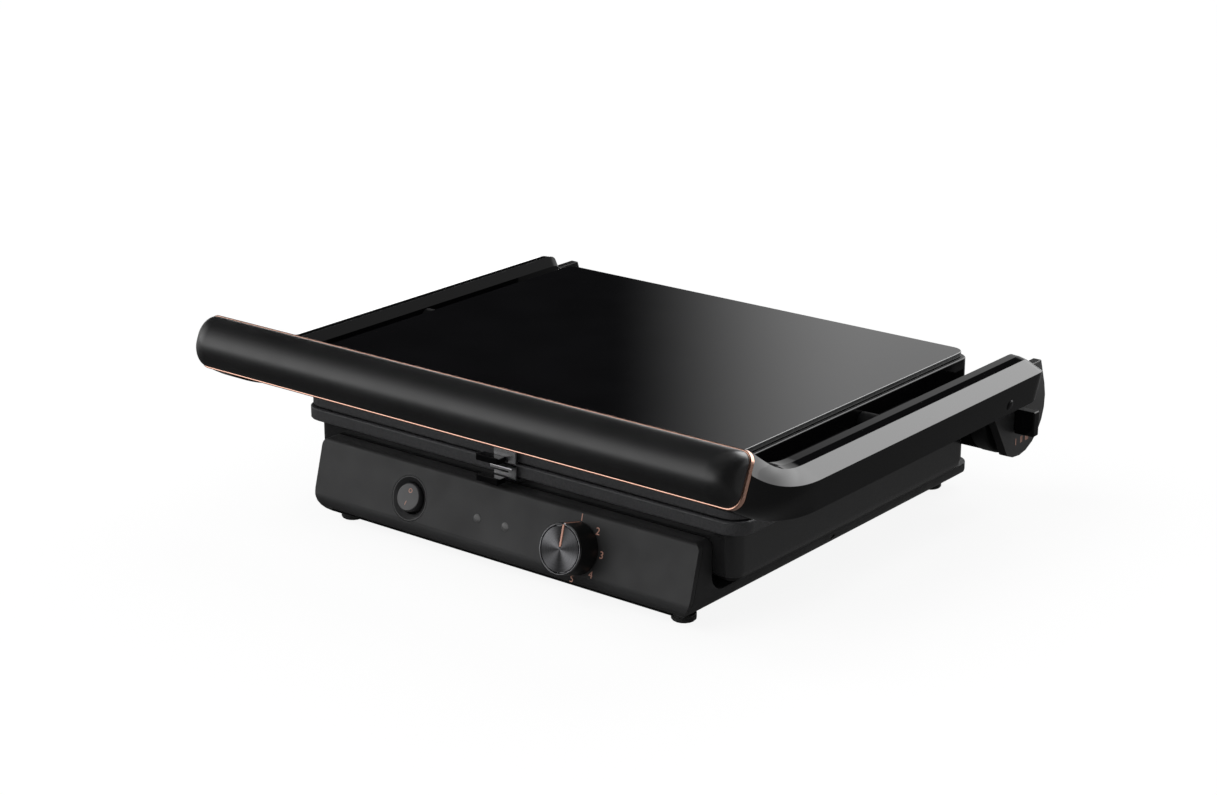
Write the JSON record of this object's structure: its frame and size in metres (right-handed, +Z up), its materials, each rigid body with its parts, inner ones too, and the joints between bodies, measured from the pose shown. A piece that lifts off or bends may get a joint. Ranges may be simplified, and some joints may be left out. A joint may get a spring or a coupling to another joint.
{
  "type": "contact grill",
  "caption": "Countertop sandwich grill: low base with knob and rocker switch, ribbed plates, glass-topped floating lid on two lifting arms joined by a long handle.",
  "frame": {"origin": "on the table at the middle of the footprint, the lid closed", "axes": "+X to the user's right along the handle, -Y towards the user, +Z up"},
  "size_m": [0.4336, 0.38, 0.1354],
  "materials": {
    "body_grey": "matt dark grey moulding",
    "gloss_black": "polished black moulding",
    "soft_grip": "soft-touch dark grey",
    "hinge_grey": "satin dark grey paint on cast metal",
    "black_glass": "black-backed toughened glass, polished",
    "plate_coating": "cast aluminium under a dark non-stick coat",
    "copper": "satin copper tone plating",
    "steel": "bright rolled steel",
    "knob_metal": "dark anodised, spun face",
    "lens_grey": "smoked grey lamp lens",
    "rubber": "matt black",
    "ceramic": "pale heat-proof moulding",
    "board_green": "lacquered circuit board"
  },
  "bodies": {
    "base": {"base_shell": "body_grey", "bottom_cover": "body_grey", "foot_front_left": "rubber", "foot_front_right": "rubber", "foot_rear_left": "rubber", "foot_rear_right": "rubber", "front_fascia": "body_grey", "switch_bezel": "gloss_black", "switch_body": "hinge_grey", "lamp_lens_left": "lens_grey", "lamp_lens_right": "lens_grey", "indicator_board": "board_green", "thermostat": "ceramic", "terminal_block": "ceramic", "cord_gland": "rubber", "lower_housing": "gloss_black", "lower_plate": "plate_coating", "lower_heating_element": "steel", "lower_reflector": "steel", "hinge_tower": "gloss_black", "hinge_cap_left": "gloss_black", "hinge_cap_right": "gloss_black", "hinge_pin_left": "steel", "hinge_pin_right": "steel"},
    "arms": {"arm_left": "gloss_black", "arm_right": "gloss_black", "handle_back": "gloss_black", "handle_trim": "copper", "handle_grip": "soft_grip", "arm_bracket_left": "hinge_grey", "arm_bracket_right": "hinge_grey"},
    "lid": {"lid_housing": "gloss_black", "lid_glass": "black_glass", "upper_plate": "plate_coating", "upper_heating_element": "steel", "upper_reflector": "steel", "lid_pivot_left": "hinge_grey", "lid_pivot_right": "hinge_grey"},
    "upper_latch": {"upper_release_clip": "steel", "upper_release_tab": "gloss_black"},
    "lower_latch": {"lower_release_clip": "steel", "lower_release_tab": "gloss_black"},
    "knob": {"knob_body": "gloss_black", "knob_face": "knob_metal", "knob_pointer": "copper", "thermostat_shaft": "steel"},
    "rocker": {"rocker_button": "gloss_black"},
    "height_lever": {"height_lever": "gloss_black"}
  },
  "joints": [
    {"name": "arm_hinge", "type": "hinge", "parent": "base", "child": "arms", "pos_m": [0, 0.15805, 0.0698], "axis": [-1, 0, 0], "range_deg": [0, 180]},
    {"name": "lid_float", "type": "hinge", "parent": "arms", "child": "lid", "pos_m": [0, 0.01155, 0.0948], "axis": [-1, 0, 0], "range_deg": [0, 3.2]},
    {"name": "upper_latch_slide", "type": "slide", "parent": "lid", "child": "upper_latch", "axis": [0, -1, 0], "range_m": [0, 0.008], "stiffness_N_per_m": 300, "springref_m": -0.001},
    {"name": "lower_latch_slide", "type": "slide", "parent": "base", "child": "lower_latch", "axis": [0, -1, 0], "range_m": [0, 0.008], "stiffness_N_per_m": 300, "springref_m": -0.001},
    {"name": "dial_turn", "type": "hinge", "parent": "base", "child": "knob", "pos_m": [0.0651, -0.13659, 0.032], "axis": [0, 0.9632, -0.2689], "range_deg": [0, 180]},
    {"name": "rocker_tilt", "type": "hinge", "parent": "base", "child": "rocker", "pos_m": [-0.0712, -0.13187, 0.03068], "axis": [1, 0, 0], "range_deg": [0, 16]},
    {"name": "height_lever_slide", "type": "slide", "parent": "arms", "child": "height_lever", "axis": [0, 1, 0], "range_m": [0, 0.0144]}
  ],
  "couplings": [
    {"joint": "lid_float", "follows": "arm_hinge", "ratio": 0.016667}
  ]
}
